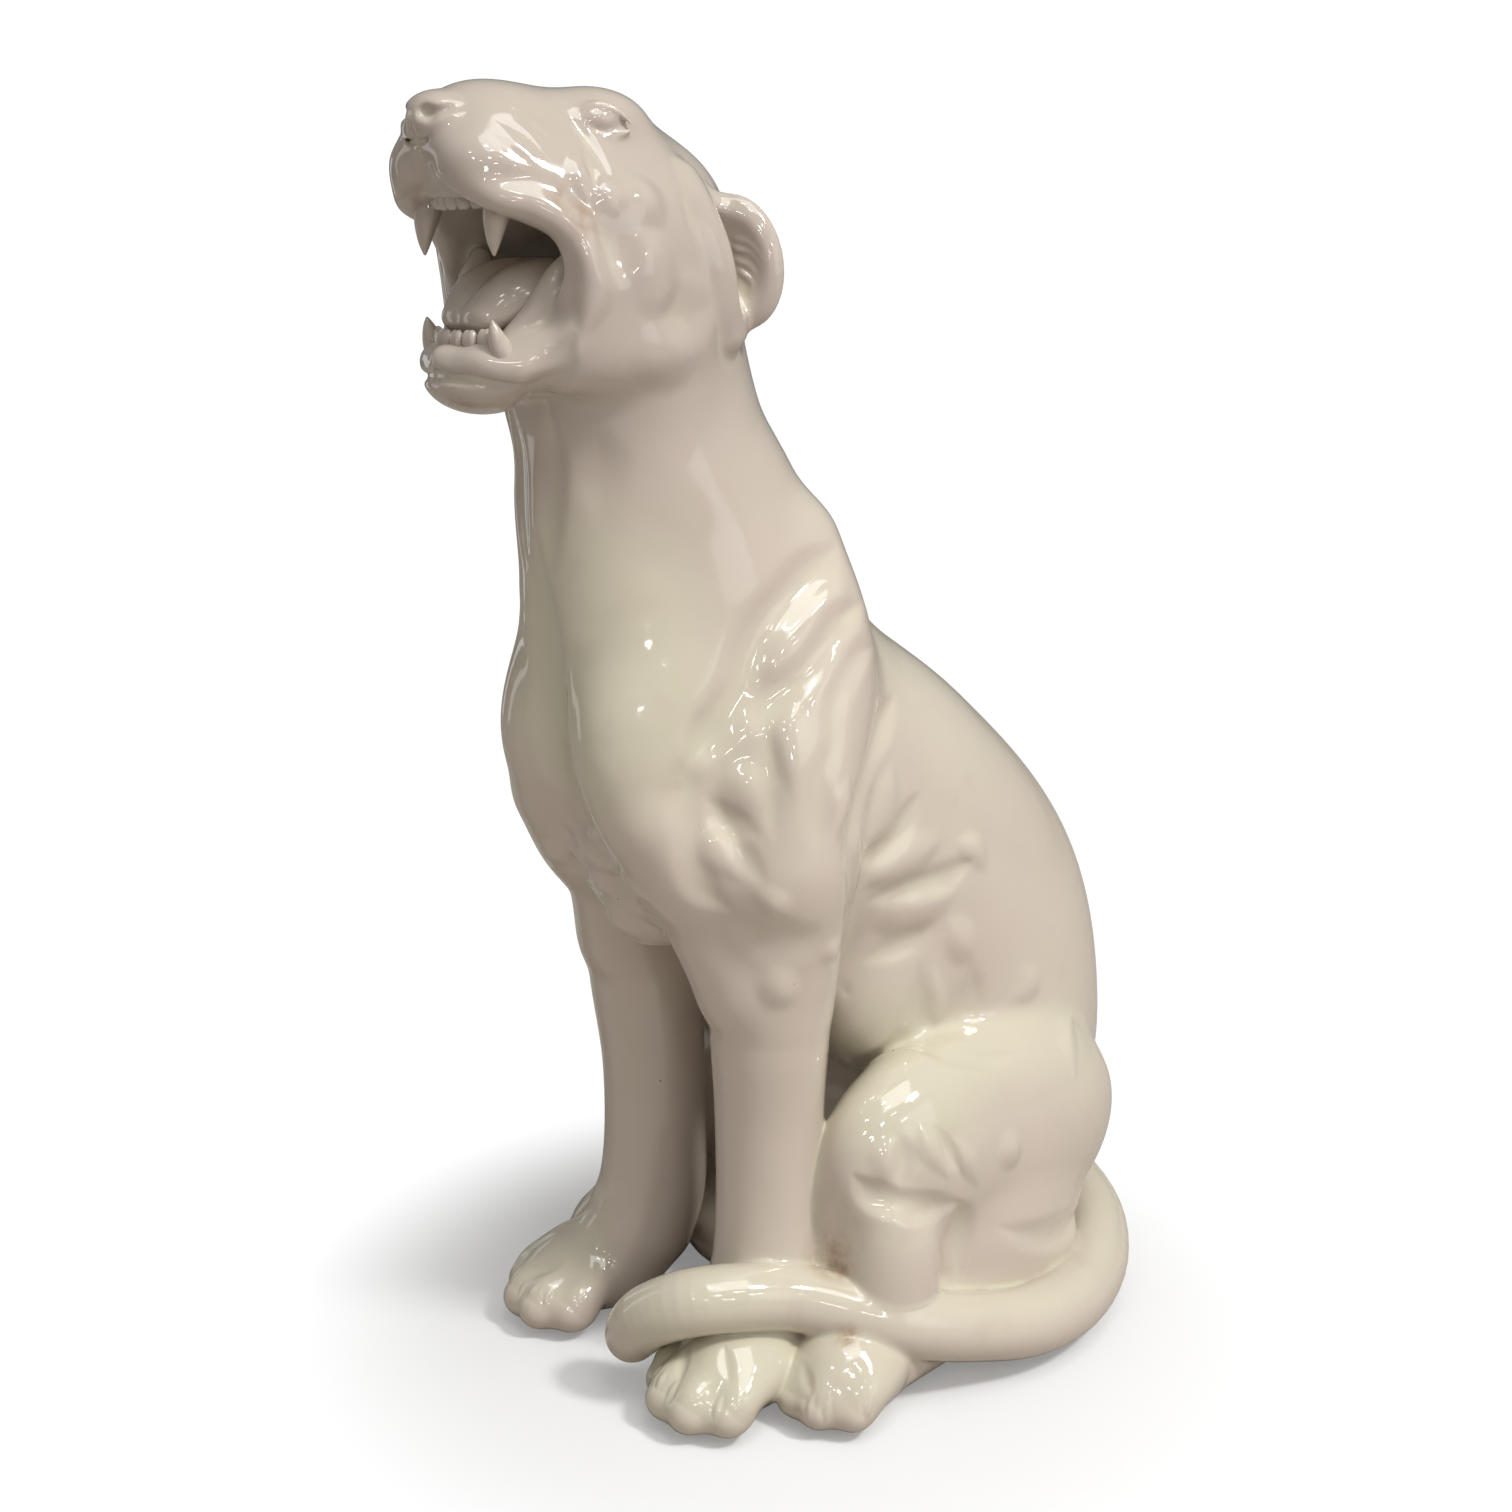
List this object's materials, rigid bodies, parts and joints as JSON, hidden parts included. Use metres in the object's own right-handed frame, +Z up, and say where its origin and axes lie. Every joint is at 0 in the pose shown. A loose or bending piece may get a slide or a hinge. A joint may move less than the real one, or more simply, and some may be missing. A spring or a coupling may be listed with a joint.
{
  "type": "ceramic panther statue",
  "caption": "Floor-standing glazed ceramic panther, seated and roaring, with its tail laid over its paws: a hollow cast ornament on clear bumper feet.",
  "frame": {"origin": "middle of the figure's outline on the floor, at the underside of its bumpers", "axes": "+Z up; the animal faces -Y and its left side, with the tail laid round it, is +X"},
  "size_m": [0.392, 0.5564, 0.87],
  "materials": {
    "torso": "glossy cream glaze",
    "head": "glossy cream glaze",
    "lower_jaw": "glossy cream glaze",
    "tongue": "glossy cream glaze, pooled darker",
    "ear_left": "glossy cream glaze",
    "ear_right": "glossy cream glaze",
    "upper_canine_left": "glossy cream glaze",
    "upper_canine_right": "glossy cream glaze",
    "lower_canine_left": "glossy cream glaze",
    "lower_canine_right": "glossy cream glaze",
    "upper_incisors": "glossy cream glaze",
    "lower_incisors": "glossy cream glaze",
    "cheek_teeth_left": "glossy cream glaze",
    "cheek_teeth_right": "glossy cream glaze",
    "front_leg_left": "glossy cream glaze",
    "front_leg_right": "glossy cream glaze",
    "hind_leg_left": "glossy cream glaze",
    "hind_leg_right": "glossy cream glaze",
    "tail": "glossy cream glaze",
    "bumper_front_left": "clear soft bumper",
    "bumper_front_right": "clear soft bumper",
    "bumper_hind_left": "clear soft bumper",
    "bumper_hind_right": "clear soft bumper",
    "bumper_rump_left": "clear soft bumper",
    "bumper_rump_right": "clear soft bumper"
  },
  "bodies": {
    "root": {"torso": "torso", "head": "head", "lower_jaw": "lower_jaw", "tongue": "tongue", "ear_left": "ear_left", "ear_right": "ear_right", "upper_canine_left": "upper_canine_left", "upper_canine_right": "upper_canine_right", "lower_canine_left": "lower_canine_left", "lower_canine_right": "lower_canine_right", "upper_incisors": "upper_incisors", "lower_incisors": "lower_incisors", "cheek_teeth_left": "cheek_teeth_left", "cheek_teeth_right": "cheek_teeth_right", "front_leg_left": "front_leg_left", "front_leg_right": "front_leg_right", "hind_leg_left": "hind_leg_left", "hind_leg_right": "hind_leg_right", "tail": "tail", "bumper_front_left": "bumper_front_left", "bumper_front_right": "bumper_front_right", "bumper_hind_left": "bumper_hind_left", "bumper_hind_right": "bumper_hind_right", "bumper_rump_left": "bumper_rump_left", "bumper_rump_right": "bumper_rump_right"}
  },
  "joints": []
}
